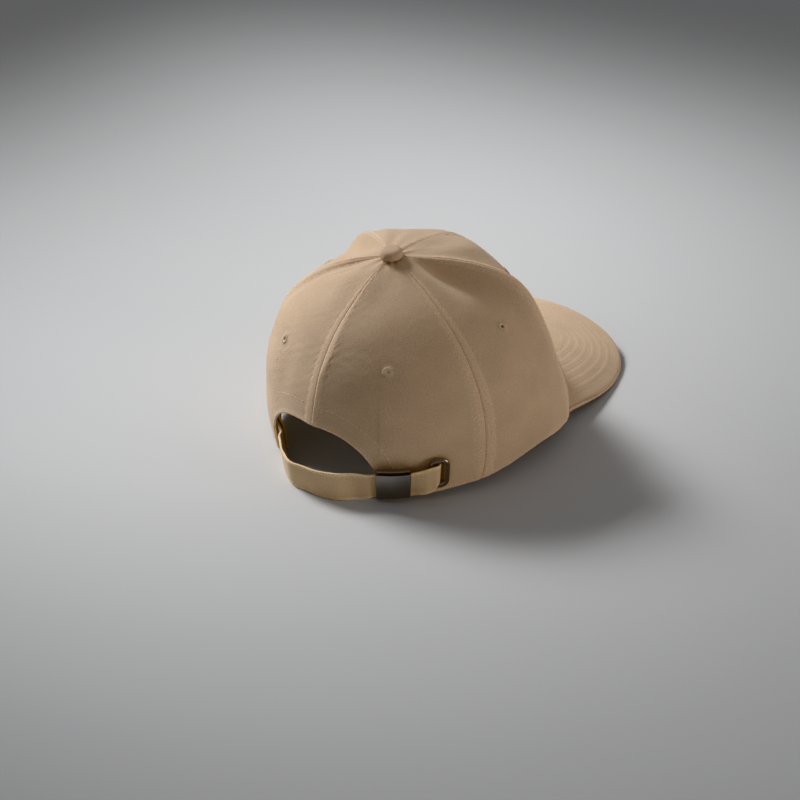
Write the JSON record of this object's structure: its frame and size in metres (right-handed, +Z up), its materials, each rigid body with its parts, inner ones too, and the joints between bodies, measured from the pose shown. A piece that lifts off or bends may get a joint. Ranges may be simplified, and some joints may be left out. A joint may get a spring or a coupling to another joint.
{
  "type": "six-panel cap",
  "caption": "Soft cap of sewn twill panels with a covered button, a curved brim and an arched back opening closed by a strap with a metal buckle and ring.",
  "frame": {"origin": "on the floor, in the middle of the cap's box", "axes": "+Z up, the brim points to -Y, the back opening and its strap face +Y, and the wearer's right is -X"},
  "size_m": [0.1774, 0.2581, 0.124],
  "materials": {
    "twill": "matt khaki cotton twill",
    "band": "matt ochre-brown cotton, in shade",
    "metal": "dark gunmetal, softly brushed"
  },
  "bodies": {
    "root": {"crown_panel_back_right": "twill", "crown_panel_side_right": "twill", "crown_panel_front_right": "twill", "crown_panel_front_left": "twill", "crown_panel_side_left": "twill", "crown_panel_back_left": "twill", "brim": "twill", "sweatband": "band", "strap": "twill", "buckle_tab": "twill", "buckle_frame": "metal", "buckle_cover": "metal", "buckle_hinge": "metal", "strap_ring": "metal", "button": "twill"}
  },
  "joints": []
}
